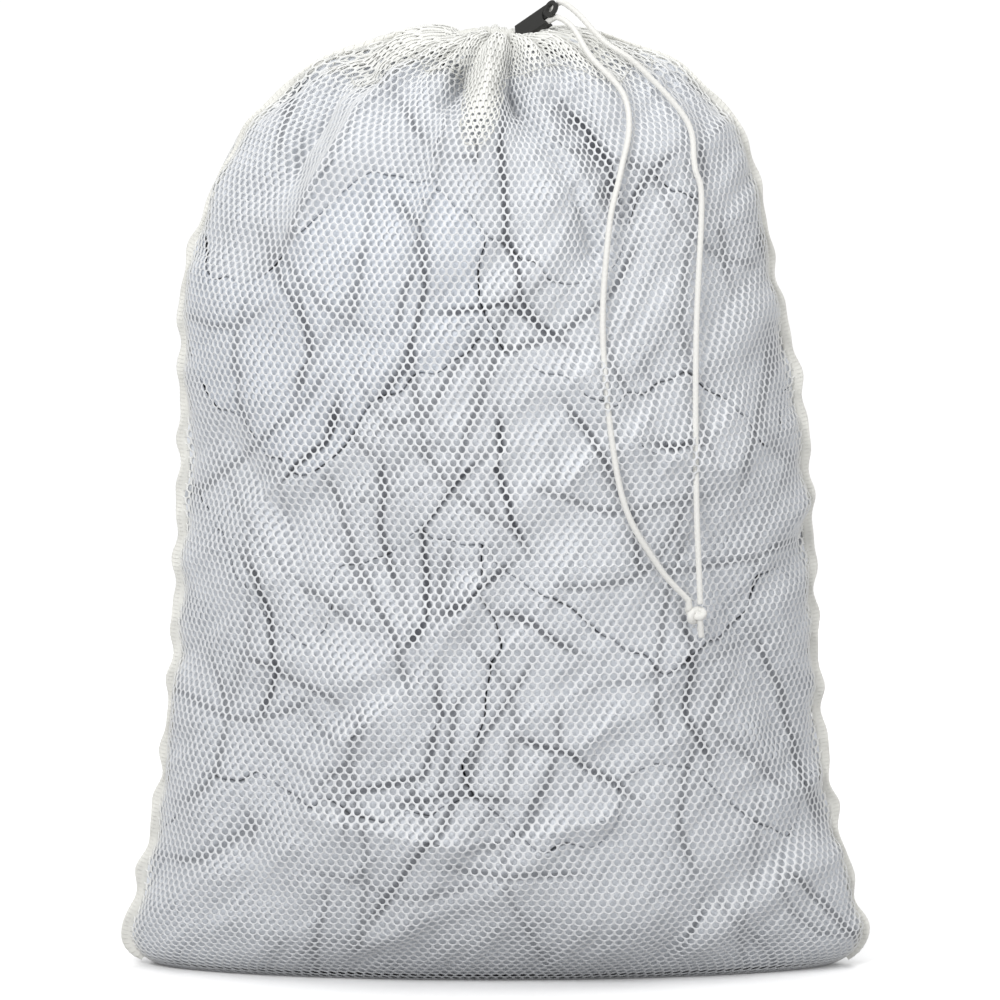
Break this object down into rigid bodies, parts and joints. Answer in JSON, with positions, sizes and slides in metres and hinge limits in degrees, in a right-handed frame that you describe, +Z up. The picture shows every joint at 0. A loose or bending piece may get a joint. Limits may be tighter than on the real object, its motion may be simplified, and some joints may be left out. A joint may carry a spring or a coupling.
{
  "type": "mesh laundry bag",
  "caption": "Full knitted-mesh laundry bag, drawn shut at the top by a cord with a sliding wedge lock; the cord's tails hang down the front to a knot.",
  "frame": {"origin": "on the floor, under the middle of the bag's folded bottom", "axes": "+X to the right seen from the front, +Y towards the back, +Z up; the cord tails hang on the -Y side"},
  "size_m": [0.5474, 0.2972, 0.7201],
  "materials": {
    "mesh": "white knitted polyester mesh with round holes, slight sheen",
    "seam_edge": "ivory overlocked mesh edge, puckered",
    "hem": "ivory doubled mesh, gathered",
    "thread": "off-white polyester thread",
    "cord": "white braided polyester cord",
    "lock_plastic": "black moulded plastic, satin",
    "laundry": "white cotton cloth with a faint blue cast"
  },
  "bodies": {
    "bag": {"mesh_body": "mesh", "left_seam": "seam_edge", "right_seam": "seam_edge", "left_seam_thread": "thread", "right_seam_thread": "thread", "hem_casing": "hem", "hem_stitching": "thread", "drawcord_loop": "cord", "folded_sheet": "laundry", "left_towel": "laundry", "right_towel": "laundry", "duvet_cover": "laundry", "left_shirt": "laundry", "right_pillowcase": "laundry", "top_towel": "laundry"},
    "cord_neck": {"near_cord_neck": "cord", "far_cord_neck": "cord", "near_cord_shoulder": "cord", "far_cord_shoulder": "cord"},
    "lock": {"lock_sleeve": "lock_plastic"},
    "wedge": {"lock_wedge": "lock_plastic"},
    "cord_tails": {"near_cord_tail": "cord", "far_cord_tail": "cord", "end_knot": "cord"}
  },
  "joints": [
    {"name": "neck_flex", "type": "hinge", "parent": "bag", "child": "cord_neck", "pos_m": [0.01533, -0.00933, 0.68868], "axis": [0.0669, -0.7218, -0.6888], "range_deg": [0, 30]},
    {"name": "lock_slide", "type": "slide", "parent": "cord_neck", "child": "lock", "axis": [0.6962, -0.4608, 0.5505], "range_m": [0, 0.004]},
    {"name": "wedge_pull", "type": "slide", "parent": "lock", "child": "wedge", "axis": [0.6962, -0.4608, 0.5505], "range_m": [0, 0.006]},
    {"name": "tails_swing", "type": "hinge", "parent": "cord_neck", "child": "cord_tails", "pos_m": [0.11884, -0.07843, 0.6], "axis": [-0.8789, -0.4771, 0], "range_deg": [0, 60]}
  ]
}
